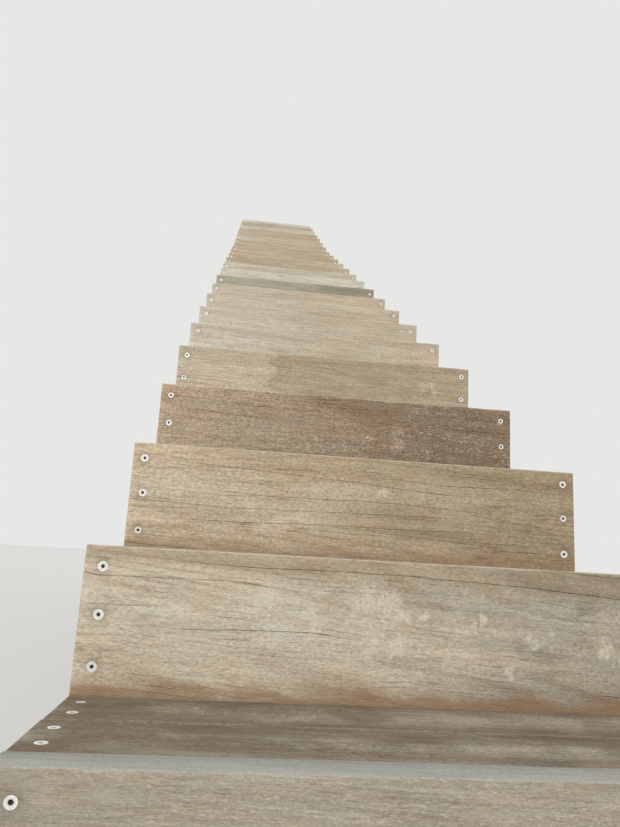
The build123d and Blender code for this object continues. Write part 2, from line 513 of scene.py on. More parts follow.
def relief(tree, shader, grain, check, flecks):
    """Roughness and bump of sawn timber."""
    tree.links.new(ramp(tree, grain["Streak"], 0.0, 1.0, 0.95, 0.78), shader.inputs["Roughness"])
    shader.inputs["Specular IOR Level"].default_value = 0.25
    height = times(tree, grain["Fibre"], 0.4)
    for mask, rise in ((grain["Streak"], 0.35), (grain["Figure"], 0.2), (grain["Fuzz"], 0.25),
                       (grain["Pores"], -0.3), (check, -1.2), (flecks, -0.25)):
        height = maths(tree, "MULTIPLY_ADD", mask, rise, height)
    bump = put(tree, "ShaderNodeBump", in_Strength=0.8, in_Distance=0.6 * MM, in_Height=height)
    tree.links.new(bump.outputs[0], shader.inputs["Normal"])


def timber_material(name, finish, turn, trodden):
    """Weathered sawn timber in one finish, its grain along X after the turn."""
    material, tree, shader = new_material(name)
    tones = bpy.context.scene.stair_tones

    def attribute(label, output="Fac"):
        return put(tree, "ShaderNodeAttribute", attribute_name=label).outputs[output]

    def masks(label, **inputs):
        return put(tree, "ShaderNodeGroup", node_tree=mask_group(label), **inputs).outputs

    def share(mask, amount):
        return times(tree, mask, amount)

    def cover(mask, above):
        nonlocal colour
        colour = blend(tree, mask, colour, above)

    def tint(mask, shares):
        nonlocal colour
        colour = blend(tree, mask, colour, shares, mode="MULTIPLY")

    def toned(above):
        return blend(tree, 1.0, above, tone, mode="MULTIPLY")

    coordinates = put(tree, "ShaderNodeTexCoord").outputs["Object"]
    turned = put(tree, "ShaderNodeMapping", in_Vector=coordinates, in_Rotation=turn,
                 in_Scale=(finish.fine,) * 3).outputs[0]
    place = attribute("place", "Vector")
    share_of_board = parts(tree, place)
    upward = parts(tree, put(tree, "ShaderNodeNewGeometry").outputs["Normal"])["Z"]
    grain = masks("Sawn grain", in_Vector=turned)
    check = masks("Drying checks", in_Vector=turned, in_Amount=finish.checks)["Check"]
    stains = masks("Weather stains", in_Vector=turned, in_Height=share_of_board["Y"])
    # Pale arris mask: partly wear, partly a painted highlight
    edge = masks("Edge wear and highlight", in_Vector=coordinates, in_Worn=attribute("worn"))["Edge"]
    streaks = ramp(tree, grain["Streak"], 0.0, 1.0, 0.91, 1.08)
    fibres = ramp(tree, grain["Fibre"], 0.0, 1.0, 1 - 0.2 * finish.grit, 1 + 0.2 * finish.grit)
    tone = share(streaks, fibres)

    # The wood itself, which turns from one tone to the other along the board
    side = maths(tree, "SUBTRACT", share_of_board["X"], finish.turn_at)
    side = maths(tree, "MULTIPLY_ADD", side, finish.drift, clouds(tree, turned, (2, 13, 13), detail=3.0))
    change = ramp(tree, side, 0.5 - finish.blur / 2, 0.5 + finish.blur / 2)
    colour = blend(tree, change, linear(*finish.wood), linear(*finish.other))
    tint(share(stains["Warm"], finish.warm), WARM_TINT)
    colour = toned(colour)
    tint(share(maths(tree, "SUBTRACT", 1.0, grain["Figure"]), finish.figure), FIGURE_TINT)
    cover(share(grain["Fuzz"], finish.fuzz), tones.fuzz)
    tint(share(grain["Pores"], 0.6), PORE_TINT)

    # What has settled on it and rubbed off on it, with tops partly a painted skylight sheen and edges
    # partly a painted highlight
    settled = ramp(tree, change, 0.0, 1.0, finish.dust, 0.5 * finish.dust)
    cover(share(stains["Dust"], settled), toned(tones.dust))
    cover(share(stains["Crown"], finish.crown), toned(linear(*finish.crown_tone)))
    cover(share(stains["Scuffs"], finish.scuffs), tones.scuff)
    if finish.marks:
        cover(share(mark_mask(tree, place, finish.marks, stains["Ragged"]), 0.8), tones.mud)
    cover(share(stains["Foot"], finish.foot), tones.foot)
    mottle = ramp(tree, clouds(tree, turned, (14, 60, 60), detail=4.0, roughness=0.65), 0.36, 0.64)
    tint(1.0, blend(tree, mottle, *MOTTLE_TINTS))
    sky = ramp(tree, upward, 0.5, 0.9)
    if trodden:
        dirt = clouds(tree, coordinates, (9, 14, 14), detail=5.0, roughness=0.6)
        cover(share(ramp(tree, dirt, 0.42, 0.66, 0.0, 0.6), sky), tones.dirt)
    else:
        # Upward faces: silver grey, partly weather bleaching and partly a painted skylight sheen
        cover(share(sky, 0.85), toned(tones.bleach_and_painted_skylight))
    cover(share(stains["Flecks"], finish.flecks), linear(*finish.fleck_tone))
    # Pale edges: worn bare wood and a painted highlight along the arrises
    cover(share(edge, 0.08 if trodden else finish.edge), tones.worn)

    # Stains round the screws, checks, sawn ends, and splits darkened with painted shade
    ragged = clouds(tree, turned, (30, 90, 90), detail=3.0)
    cover(ramp(tree, share(attribute("tarnish"), ragged), 0.08, 0.42, 0.0, 0.42), tones.tarnish)
    cover(share(check, 0.72), tones.check)
    sawn = end_cut(tree, attribute("from_pith", "Vector"), tones)
    cover(ramp(tree, attribute("end_cut"), 0.6, 0.95), sawn)
    # Splits: browner inner wood with painted shade down the crevice
    cover(attribute("split"), tones.split)
    tree.links.new(colour, shader.inputs["Base Color"])
    relief(tree, shader, grain, check, stains["Flecks"])
    return material


def wood(finish_name, turn, use, trodden=False):
    """The material of a finish for one use, made once."""
    name = f"Timber {finish_name} {use}"
    if name in bpy.data.materials:
        return bpy.data.materials[name]
    return timber_material(name, FINISHES[finish_name], turn, trodden)


def screw_material():
    """Galvanised steel with a faint spangle, zinc lifted to near white as a painted sheen, and grime and
    painted shade down in the socket.
    """
    material, tree, shader = new_material("Galvanised screws")
    tones = bpy.context.scene.stair_tones
    place = put(tree, "ShaderNodeTexCoord").outputs["Object"]
    grime = put(tree, "ShaderNodeAttribute", attribute_name="grime").outputs["Fac"]
    spangle = put(tree, "ShaderNodeTexVoronoi", in_Vector=place, in_Scale=420.0).outputs["Distance"]
    # Near-white zinc, mostly unmetallic: partly the zinc's colour, partly a painted sheen
    zinc = blend(tree, ramp(tree, spangle, 0.1, 0.7), tones.zinc, tones.grey_zinc)
    dull = clouds(tree, place, (150, 150, 150), detail=3.0)
    zinc = blend(tree, ramp(tree, dull, 0.55, 0.75, 0.0, 0.3), zinc, tones.dull_zinc)
    # Grime and painted shade darken the socket and dull its metal
    tree.links.new(blend(tree, grime, zinc, tones.grime), shader.inputs["Base Color"])
    tree.links.new(ramp(tree, grime, 0.2, 0.9, 0.25, 0.0), shader.inputs["Metallic"])
    tree.links.new(ramp(tree, dull, 0.3, 0.8, 0.34, 0.55), shader.inputs["Roughness"])
    return material


# Timber meshes

STAIN_REACH = 24 * MM  # how far a screw stains the wood round it
SHORT_BY = (0.2, 2.6)  # least and most millimetres that a board's end falls short
SPLIT_TAPER = 0.1  # length over which a split closes towards its tip
SPLIT_STEP = 12 * MM  # distance between the points of a split on a plank
CLOSED_SPLIT = 0.1 * MM  # half the width of a split where it is closed
PLANK_PITH = (0.07, -0.03)  # place of the pith across a plank and behind its face
FLAT_AREA = 0.002  # faces larger than this, in square metres, are shaded flat
CREASE = math.radians(50)  # edges that turn more sharply than this stay crisp


class Split:
    """A drying split along a path, each point of it so far along a board from its middle and across it."""

    def __init__(self, rng, path, settings):
        self.path = path
        self.low, self.high = path[0][0], path[-1][0]
        self.across = sum(across for _, across in path) / len(path)
        self.seed = rng.uniform(0, 500)
        strength = rng.uniform(0.55, 1.0)
        self.width = settings.split_width * strength
        self.depth = settings.split_depth * strength

    def waver(self, x, size, lane):
        """A noise along the split, of a given size."""
        return noise.noise(Vector((x / size, self.seed, lane)))

    def middle(self, x):
        """Distance of the split from the board's lower edge."""
        across = self.path[0][1]
        for (low, start), (high, stop) in zip(self.path, self.path[1:]):
            across += (stop - start) * max(0.0, min(1.0, (x - low) / (high - low)))
        return across + 1.6 * MM * self.waver(x, 0.19, 0) + 0.8 * MM * self.waver(x, 0.04, 9)

    def opening(self, x):
        """How far open the split is at x, from 0 to 1."""
        end = min(x - self.low, self.high - x)
        return max(0.0, min(1.0, end / SPLIT_TAPER)) * (0.65 + 0.35 * self.waver(x, 0.022, 4))


def scatter_splits(rng, count, width, length, lean, settings, reach=(0.3, 0.95)):
    """Splits in lanes across a width, each along a part of the length."""
    splits = []
    for n in range(count):
        across = width * (0.08 + 0.84 * (n + rng.uniform(0.2, 0.8)) / count)
        span = rng.uniform(*reach) * length
        low = rng.random() * (length - span) - length / 2
        path = [(x, across - x * math.tan(lean)) for x in (low, low + span)]
        splits.append(Split(rng, path, settings))
    return splits


class Underside:
    """The long straight side that an outline rests on, as a ruler along a plank."""

    def __init__(self, outline):
        self.start, end = max(sides(outline), key=lambda side: side[1].x - side[0].x)
        self.length = (end - self.start).length
        self.along = (end - self.start) / self.length
        self.across = Vector((-self.along.y, self.along.x))
        self.turn = (-math.atan2(self.along.y, self.along.x), 0.0, math.radians(-90))

    def point(self, along, across):
        """A point so far along the ruler and so far above it."""
        return self.start + self.along * along + self.across * across

    def measure(self, point):
        """How far along the ruler and how far above it a point is."""
        return (point - self.start).dot(self.along), (point - self.start).dot(self.across)


class TimberMesh:
    """Collects the vertices, faces and masks of one or more pieces of sawn timber."""

    def __init__(self, settings):
        self.settings = settings
        self.points = []
        self.faces = []
        self.masks = {"place": [], "from_pith": [], "split": [], "worn": [], "end_cut": []}

    def add_point(self, point, place, from_pith, split=0.0, worn=0.0, end_cut=0.0):
        """Adds a vertex with its masks."""
        self.points.append(point)
        for values, value in zip(self.masks.values(), (place, from_pith, split, worn, end_cut)):
            values.append(value)
        return len(self.points) - 1

    def add_board(self, length, width, thickness, place, rng, finish):
        """Adds a board; place turns x along it, distance across it and depth from its face to a point."""
        settings = self.settings
        seed = rng.uniform(1, 900)
        if isinstance(finish.splits, int):
            splits = scatter_splits(rng, finish.splits, width, length, math.radians(finish.lean), settings)
        else:
            splits = [Split(rng, [(x * length, across * width) for x, across in path], settings)
                      for path in finish.splits]
        low_x, high_x = (side * (length / 2 - rng.uniform(*SHORT_BY) * MM) for side in (-1, 1))
        count = max(4, round((high_x - low_x) / settings.column))
        radius = settings.arris
        pith = (rng.uniform(0.15, 0.85) * width, thickness * rng.uniform(1.0, 2.6))
        xs = [(low_x, radius), (low_x + 0.3 * radius, 0.3 * radius)]
        xs += [(low_x + radius + (high_x - low_x - 2 * radius) * n / count, 0.0) for n in range(count + 1)]
        xs += [(high_x - 0.3 * radius, 0.3 * radius), (high_x, radius)]
        stops = [0.0, *(split.across for split in splits), width]
        spans = [max(1, round((high - low) / settings.row)) for low, high in zip(stops, stops[1:])]
        first = len(self.points)
        for x, inset in xs:
            for across, depth, split, worn in self.section(x, width, thickness, splits, spans, seed):
                across = width / 2 + (across - width / 2) * (1 - 2 * inset / width)
                depth = thickness / 2 + (depth - thickness / 2) * (1 - 2 * inset / thickness)
                self.add_point(place(x, across, depth), (x / length + 0.5, across / width, seed),
                               (across - pith[0], depth - pith[1], 0.0), split,
                               max(worn, 0.7 if inset else 0.0), 1.0 if inset == radius else 0.0)
        size = (len(self.points) - first) // len(xs)
        self.faces += [(a, d, c, b) for a, b, c, d in ring_faces(first, size, len(xs))]
        self.faces.append(tuple(range(first, first + size)))
        self.faces.append(tuple(reversed(range(len(self.points) - size, len(self.points)))))

    def section(self, x, width, thickness, splits, spans, seed):
        """The board's outline at x, as across, depth, split and the pale edge mask of wear and painted
        highlight.
        """
        settings = self.settings

        def wave(size, lane):
            return noise.noise(Vector((x / size, seed, lane)))

        def edge(lane):
            return settings.wander * (0.5 + 0.32 * wave(0.4, lane) + 0.18 * wave(0.035, lane))

        def arris(lane):
            dent = max(0.0, wave(0.05, lane + 40) - 0.3)
            return settings.arris * (1.0 + 0.4 * wave(0.12, lane + 20) + 2.4 * dent)

        def face(across):
            swell = 0.5 + 0.5 * noise.noise(Vector((x / 0.5, across / 0.09, seed)))
            fine = 0.5 + 0.5 * noise.noise(Vector((x / 0.05, across / 0.007, seed)))
            return (0.55 * swell + 0.35 * fine) * MM

        low_edge, high_edge = edge(1), width - edge(2)
        low_arris, high_arris = arris(1), arris(2)
        openings = [split.opening(x) for split in splits]
        half = [CLOSED_SPLIT + 0.5 * split.width * opening for split, opening in zip(splits, openings)]
        clear = 4 * MM
        stops = [low_edge + low_arris]
        for split in splits:
            stops.append(max(stops[-1] + clear, min(split.middle(x), high_edge - clear)))
        stops.append(high_edge - high_arris)
        for n in range(len(stops) - 2, 0, -1):
            stops[n] = min(stops[n], stops[n + 1] - clear)

        loop = []

        def row(across, split=0.0, worn=0.0, extra=0.0):
            loop.append((across, face(across) + extra, split, worn))

        shoulder = 0.8 * MM
        row(stops[0], worn=0.9)
        row(stops[0] + shoulder, worn=0.2)
        for n, rows in enumerate(spans):
            start = stops[n] + shoulder + (half[n - 1] if n else 0.0)
            stop = stops[n + 1] - shoulder - (half[n] if n < len(splits) else 0.0)
            for step in range(1, rows):
                row(start + (stop - start) * step / rows)
            if n < len(splits):
                middle, side = stops[n + 1], half[n]
                row(middle - side - shoulder)
                row(middle - side, split=0.3 * openings[n])
                row(middle, split=openings[n], extra=splits[n].depth * openings[n])
                row(middle + side, split=0.3 * openings[n])
                row(middle + side + shoulder)
        row(stops[-1] - shoulder, worn=0.2)
        row(stops[-1], worn=0.9)

        back = thickness - 0.3 * MM

        def narrow_side(end, inwards, radius, skin, lane):
            spots = [(end + inwards * radius * (1 - math.sin(turn)), skin + radius * (1 - math.cos(turn)),
                      0.0, 1.0) for turn in (math.radians(30), math.radians(60))]
            return spots + [(end, skin + radius, 0.0, 0.5),
                            (end + inwards * 0.3 * MM * (1 + wave(0.06, lane)), thickness * 0.5, 0.0, 0.0),
                            (end, back - settings.arris, 0.0, 0.3),
                            (end + inwards * settings.arris, back, 0.0, 0.6)]

        loop += narrow_side(high_edge, -1, high_arris, face(width), 7)
        rows = max(2, round(width / (3 * settings.row)))
        for step in range(1, rows):
            across = high_edge - (high_edge - low_edge) * step / rows
            loop.append((across, thickness - face(across + width), 0.0, 0.0))
        return loop + narrow_side(low_edge, 1, low_arris, face(0), 8)[::-1]

    def add_plank(self, outline, thickness, place, rng, finish):
        """Adds a plank cut to an outline; place turns a point of the outline and a depth to a point."""
        seed = rng.uniform(1, 900)
        ruler = Underside(outline)
        dense, inwards = dense_outline(outline, self.settings.cell)
        wander = [self.settings.wander * (0.5 + 0.5 * noise.noise(Vector((*point, seed)) * 8.0))
                  for point in dense]
        radius = self.settings.arris
        shoulder = radius + 2 * MM
        rings = ((shoulder, 0.0, 0.0), (radius, 0.0, 0.8), (0.3 * radius, 0.3 * radius, 0.9),
                 (0.0, radius, 0.4), (0.5 * MM, thickness / 2, 0.0), (0.0, thickness - radius, 0.4),
                 (0.3 * radius, thickness - 0.3 * radius, 0.9), (radius, thickness, 0.8),
                 (shoulder, thickness, 0.0))

        def add(point, depth, sink=0.0, split=0.0, worn=0.0):
            along, across = ruler.measure(point)
            return self.add_point(place(point, depth + sink), (along / ruler.length, 0.5, seed),
                                  (across - PLANK_PITH[0], depth - PLANK_PITH[1], 0.0), split, worn)

        loops = []
        first = len(self.points)
        for inset, depth, worn in rings:
            loops.append([point + inward * (inset + off)
                          for point, inward, off in zip(dense, inwards, wander)])
            for point in loops[-1]:
                add(point, depth, worn=worn)
        size = len(dense)
        inside_only, tolerance = 1, 1e-7
        self.faces += ring_faces(first, size, len(rings))
        for ring, toward in ((0, 1), (len(rings) - 1, -1)):
            corners, edges = side_spots(loops[ring], outline, ruler, rng, finish, self.settings)
            made, _, triangles, origins, _, _ = delaunay_2d_cdt(
                [point for point, _, _ in corners], edges, [list(range(size))], inside_only, tolerance)
            where = []
            for point, sources in zip(made, origins):
                source = sources[0] if sources else None
                if source is not None and source < size:
                    where.append(first + ring * size + source)
                    continue
                _, sink, split = corners[source] if source is not None else (None, 0.0, 0.0)
                where.append(add(point, rings[ring][1], toward * sink, split))
            self.faces += [tuple(where[n] for n in triangle) for triangle in triangles]

    def finish(self, name, material, pockets=()):
        """Makes the object, with its masks as attributes, and sinks its screw pockets."""
        mesh = bpy.data.meshes.new(name)
        mesh.from_pydata(self.points, [], self.faces)
        mesh.materials.append(material)
        for label, values in self.masks.items():
            if isinstance(values[0], tuple):
                layer = mesh.attributes.new(label, "FLOAT_VECTOR", "POINT")
                layer.data.foreach_set("vector", [c for value in values for c in value])
            else:
                layer = mesh.attributes.new(label, "FLOAT", "POINT")
                layer.data.foreach_set("value", values)
        thing = new_object(name, mesh)
        settle(mesh)
        if pockets:
            sink_pockets(thing, pockets)
            self.mend_masks(thing.data)
            self.stain_round(thing.data, pockets)
            settle(thing.data)
        return thing

    def stain_round(self, mesh, pockets):
        """Masks the wood that the screws have stained, strongest at their heads."""
        heads = lookup([centre for centre, _ in pockets])
        near = [max(0.0, 1.0 - heads.find(vertex.co)[2] / STAIN_REACH) for vertex in mesh.vertices]
        mesh.attributes.new("tarnish", "FLOAT", "POINT").data.foreach_set("value", near)

    def mend_masks(self, mesh):
        """Gives the vertices that a cut added the place and pith of the nearest old one."""
        old = lookup(self.points)
        places, piths = mesh.attributes["place"].data, mesh.attributes["from_pith"].data
        for vertex in mesh.vertices:
            if places[vertex.index].vector[2] < 1:  # only a board's own vertices have its seed
                _, nearest, _ = old.find(vertex.co)
                places[vertex.index].vector = self.masks["place"][nearest]
                piths[vertex.index].vector = self.masks["from_pith"][nearest]


def ring_faces(first, size, count):
    """The faces between so many rings of points, all of one size, numbered one after the other."""
    faces = []
    for a in range(first, first + (count - 1) * size, size):
        for n in range(size):
            m = (n + 1) % size
            faces.append((a + n, a + m, a + size + m, a + size + n))
    return faces


def lookup(points):
    """A tree that finds the nearest of some points."""
    tree = KDTree(len(points))
    for index, point in enumerate(points):
        tree.insert(point, index)
    tree.balance()
    return tree


def sides(outline):
    """The two ends of each side of a closed outline."""
    return list(zip(outline, outline[1:] + outline[:1]))


def dense_outline(outline, step):
    """Points along a closed outline no further apart than step, with their inward directions."""
    dense = []
    for here, there in sides(outline):
        count = max(1, math.ceil((there - here).length / step))
        dense += [here.lerp(there, n / count) for n in range(count)]
    inwards = []
    for n, here in enumerate(dense):
        before = (here - dense[n - 1]).normalized()
        after = (dense[(n + 1) % len(dense)] - here).normalized()
        left, right = Vector((-before.y, before.x)), Vector((-after.y, after.x))
        inwards.append((left + right) / (1 + left.dot(right)))
    return dense, inwards


def side_spots(loop, outline, ruler, rng, finish, settings):
    """Corners of a plank's side, as point, sink and split mask, and the lines that its splits need."""
    corners = [(point, 0.0, 0.0) for point in loop]
    edges = []
    below_cuts = 0.12  # width of a plank below its cuts
    margin = 0.18  # no split comes nearer to a plank's end
    spare = 10  # cells laid before the ruler's start, which a plank may reach past
    for split in scatter_splits(rng, finish.splits, below_cuts, ruler.length - 2 * margin, 0.0, settings,
                                reach=(0.12, 0.5)):
        lay_split(split, ruler, corners, edges)
    taken = [point for point, _, _ in corners[len(loop):]]
    seed = rng.uniform(0, 900)
    cell = settings.cell
    near = 0.42 * cell
    top = max(ruler.measure(point)[1] for point in outline)
    for i in range(-spare, int(ruler.length / cell) + 1):
        for j in range(int(top / cell) + 1):
            point = ruler.point((i + 0.5 * (j % 2) + rng.uniform(-0.2, 0.2)) * cell,
                                (j + rng.uniform(-0.2, 0.2)) * cell)
            if depth_inside(point, outline) < near:
                continue
            if any(abs(point.x - other.x) < near and abs(point.y - other.y) < near for other in taken):
                continue
            swell = 0.5 + 0.5 * noise.noise(Vector((*point, seed)) * 9.0)
            corners.append((point, 0.7 * MM * swell, 0.0))
    return corners, edges


def lay_split(split, ruler, corners, edges):
    """Adds the two lips and the bottom of a split as three lines that meet at its tips."""
    steps = max(6, round((split.high - split.low) / SPLIT_STEP))
    before = None
    for step in range(steps + 1):
        x = split.low + (split.high - split.low) * step / steps
        opening = split.opening(x)
        here = ruler.point(x + ruler.length / 2, split.middle(x))
        half = ruler.across * (CLOSED_SPLIT + 0.5 * split.width * opening)
        first = len(corners)
        if step in (0, steps):
            corners.append((here, 0.0, 0.0))
            row = (first, first, first)
        else:
            corners.append((here - half, 0.0, 0.3 * opening))
            corners.append((here, split.depth * opening, opening))
            corners.append((here + half, 0.0, 0.3 * opening))
            row = (first, first + 1, first + 2)
        if before:
            edges += zip(before, row)
        before = row


def depth_inside(point, outline):
    """Distance of a point inside a closed outline to its nearest side, or less than 0 outside."""
    inside = False
    nearest = math.inf
    for a, b in sides(outline):
        side = b - a
        if (a.y > point.y) != (b.y > point.y) and point.x < a.x + (point.y - a.y) * side.x / side.y:
            inside = not inside
        along = max(0.0, min(1.0, (point - a).dot(side) / side.length_squared))
        nearest = min(nearest, (point - a - side * along).length)
    return nearest if inside else -nearest


def node_outline(node):
    """The side outline of a node in the frame's Y and Z, run so that its inside is on the left."""
    mesh = bmesh.new()
    mesh.from_mesh(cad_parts[node].data)
    mesh.transform(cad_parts[node].matrix_world)
    bmesh.ops.remove_doubles(mesh, verts=mesh.verts, dist=0.01 * MM)
    bmesh.ops.dissolve_limit(mesh, angle_limit=math.radians(0.5), verts=mesh.verts, edges=mesh.edges)
    mesh.normal_update()
    side = max(mesh.faces, key=lambda face: (len(face.verts), face.normal.x))
    outline = [Vector((vertex.co.y, vertex.co.z)) for vertex in side.verts]
    mesh.free()
    if sum(a.cross(b) for a, b in sides(outline)) < 0:
        outline.reverse()
    return outline


def sink_pockets(thing, pockets):
    """Cuts the holes that take the screw heads, each given by its centre and its outward direction."""
    settings = bpy.context.scene.stair_screws
    clear = 1 * MM
    cutter = bmesh.new()
    for centre, outward in pockets:
        turn = outward.to_track_quat("Z", "Y").to_matrix().to_4x4()
        middle = centre + outward * (clear - settings.pocket_depth) / 2
        bmesh.ops.create_cone(cutter, cap_ends=True, segments=16, radius1=settings.pocket,
                              radius2=settings.pocket, depth=settings.pocket_depth + clear,
                              matrix=Matrix.Translation(middle) @ turn)
    mesh = bpy.data.meshes.new("Pockets")
    cutter.to_mesh(mesh)
    cutter.free()
    tool = new_object("pockets", mesh)
    modifier = thing.modifiers.new("Pockets", "BOOLEAN")
    modifier.operation = "DIFFERENCE"
    modifier.solver = "EXACT"
    modifier.object = tool
    drilled = plain_mesh(thing)
    thing.modifiers.remove(modifier)
    thing.data = drilled
    bpy.data.objects.remove(tool)


def plain_mesh(thing):
    """What an object's modifiers make of it, as a mesh of its own."""
    return bpy.data.meshes.new_from_object(thing.evaluated_get(bpy.context.evaluated_depsgraph_get()))


def settle(mesh):
    """Turns a mesh's faces outwards and shades it smooth, crisp where it turns sharply."""
    shape = bmesh.new()
    shape.from_mesh(mesh)
    bmesh.ops.recalc_face_normals(shape, faces=shape.faces)
    for face in shape.faces:
        face.smooth = face.calc_area() < FLAT_AREA
    for edge in shape.edges:
        edge.smooth = edge.calc_face_angle(0.0) < CREASE
    shape.to_mesh(mesh)
    shape.free()


def new_object(name, data):
    """Adds an object to the scene, at the origin."""
    thing = bpy.data.objects.new(name, data)
    bpy.context.scene.collection.objects.link(thing)
    return thing


def seat(piece, node):
    """Hands a finished piece over to the frame in place of its node."""
    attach(piece, BODY)
    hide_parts(node)


# Screws

def tread_board_width(low, high):
    """Width of each of a tread's two boards."""
    return (high.y - low.y - bpy.context.scene.stair_boards.board_gap) / 2


def stray(rng):
    """How far a screw strays from its marked place in one direction."""
    return rng.uniform(-1, 1) * bpy.context.scene.stair_screws.stray


def riser_screws(node):
    """Places of a riser's screws, three at each end, and the way that they look."""
    settings = bpy.context.scene.stair_screws
    low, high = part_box(node)
    rng = random.Random(f"screws {node}")
    for side in (-1, 1):
        for n in range(3):
            x = side * (high.x - settings.inset + stray(rng))
            z = high.z - settings.first - n * settings.pitch + stray(rng)
            yield Vector((x, low.y, z)), Vector((0, -1, 0))


def tread_screws(node):
    """Places of a tread's screws, two at each end of both boards, and the way that they look."""
    settings = bpy.context.scene.stair_screws
    low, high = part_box(node)
    width = tread_board_width(low, high)
    rng = random.Random(f"screws {node}")
    for near in (low.y, high.y - width):
        for share in (0.28, 0.72):
            for side in (-1, 1):
                x = side * (high.x - settings.inset + stray(rng))
                y = near + share * width + stray(rng)
                yield Vector((x, y, high.z)), Vector((0, 0, 1))


class CleatPlace:
    """Where the pair of cleats of a node lies."""

    def __init__(self, node):
        low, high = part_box(node)
        outline = node_outline(node)
        self.ruler = Underside(outline)
        self.middle = sum(outline, Vector((0, 0))) / len(outline)
        self.width = max(self.ruler.measure(point)[1] for point in outline)
        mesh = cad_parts[node]
        self.inner = min(abs((mesh.matrix_world @ vertex.co).x) for vertex in mesh.data.vertices)
        self.thickness = high.x - self.inner

    def point(self, side, along, across, depth):
        """A point on the cleat of one side, measured from its middle and its visible face."""
        point = self.middle + self.ruler.along * along - self.ruler.across * side * across
        return Vector((side * (self.inner + depth), point.x, point.y))


def cleat_screws(node):
    """Places of the screws of a pair of cleats, four each side of the joint, and the way that they look."""
    cleat = CleatPlace(node)
    for side in (-1, 1):
        for along in (-0.42, -0.14, 0.14, 0.42):
            for across in (-0.25, 0.25):
                yield (cleat.point(side, along * cleat.ruler.length, across * cleat.width, 0.0),
                       Vector((-side, 0, 0)))


def screw_head(settings, material):
    """One screw that looks along Z: a flat ring, its hex socket and the cone below."""
    corners = 12
    rings = (  # radius, height, dirt and painted shade, and whether it is the hex socket's
        (settings.radius * 0.55, -4.0 * MM, 0.6, False),
        (settings.radius, -0.45 * MM, 0.25, False),
        (settings.radius * 0.95, 0.0, 0.0, False),
        (settings.socket, -0.15 * MM, 0.15, True),
        (settings.socket * 0.95, -settings.socket_depth, 1.0, True),
    )
    points, grime = [], []
    for radius, height, dirt, hexagonal in rings:
        for n in range(corners):
            turn = 2 * math.pi * n / corners
            reach = radius * (math.cos(math.pi / 6) if hexagonal and n % 2 else 1.0)
            points.append((reach * math.cos(turn), reach * math.sin(turn), height))
            grime.append(dirt)
    faces = ring_faces(0, corners, len(rings))
    faces.append(tuple(range(len(points) - corners, len(points))))
    faces.append(tuple(reversed(range(corners))))
    mesh = bpy.data.meshes.new("Screw head")
    mesh.from_pydata(points, [], faces)
    mesh.attributes.new("grime", "FLOAT", "POINT").data.foreach_set("value", grime)
    mesh.materials.append(material)
    settle(mesh)
    return bpy.data.objects.new("Screw head", mesh)


def screw_tree():
    """Puts a screw on every point, each turned by its own amount about its axis."""
    tree = bpy.data.node_groups.new("Drive screws", "GeometryNodeTree")
    for label, kind in (("Geometry", "NodeSocketGeometry"), ("Screw", "NodeSocketObject"),
                        ("Turn", "NodeSocketVector"), ("Steel", "NodeSocketMaterial"),
                        ("Seed", "NodeSocketInt")):
        tree.interface.new_socket(label, in_out="INPUT", socket_type=kind)
    tree.interface.new_socket("Geometry", in_out="OUTPUT", socket_type="NodeSocketGeometry")
    given, result = tree.nodes.new("NodeGroupInput"), tree.nodes.new("NodeGroupOutput")
    points = put(tree, "GeometryNodeMeshToPoints", in_Mesh=given.outputs["Geometry"])
    screw = put(tree, "GeometryNodeObjectInfo", in_Object=given.outputs["Screw"])
    spin = put(tree, "FunctionNodeRandomValue", data_type="FLOAT", in_3=2 * math.pi,
               in_Seed=given.outputs["Seed"])
    about = put(tree, "ShaderNodeCombineXYZ", in_Z=spin.outputs[1])
    own = put(tree, "FunctionNodeEulerToRotation", in_0=about.outputs[0])
    outward = put(tree, "FunctionNodeEulerToRotation", in_0=given.outputs["Turn"])
    turned = put(tree, "FunctionNodeRotateRotation", rotation_space="LOCAL", in_0=outward.outputs[0],
                 in_1=own.outputs[0])
    heads = put(tree, "GeometryNodeInstanceOnPoints", in_Points=points.outputs[0],
                in_Instance=screw.outputs["Geometry"], in_Rotation=turned.outputs[0])
    real = put(tree, "GeometryNodeRealizeInstances", in_0=heads.outputs[0])
    steel = put(tree, "GeometryNodeSetMaterial", in_Geometry=real.outputs[0],
                in_Material=given.outputs["Steel"])
    tree.links.new(steel.outputs[0], result.inputs[0])
    return tree


def drive(name, screws, tree, head, steel, seed):
    """Makes one plain mesh of screws that all look one way, from their places."""
    sunk = bpy.context.scene.stair_screws.sunk
    outward = screws[0][1]
    marks = bpy.data.meshes.new(f"{name} marks")
    marks.from_pydata([place - outward * sunk for place, _ in screws], [], [])
    holder = new_object(f"{name}_marks", marks)
    modifier = holder.modifiers.new("Screws", "NODES")
    modifier.node_group = tree
    turn = tuple(outward.to_track_quat("Z", "Y").to_euler())
    values = {"Screw": head, "Turn": turn, "Steel": steel, "Seed": seed}
    for item in tree.interface.items_tree:
        if item.in_out == "INPUT" and item.name in values:
            modifier[item.identifier] = values[item.name]
    mesh = plain_mesh(holder)
    mesh.name = name
    bpy.data.objects.remove(holder)
    if not mesh.polygons:
        raise RuntimeError(f"{name} came out empty")
    piece = new_object(name, mesh)
    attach(piece, BODY)


# Operators

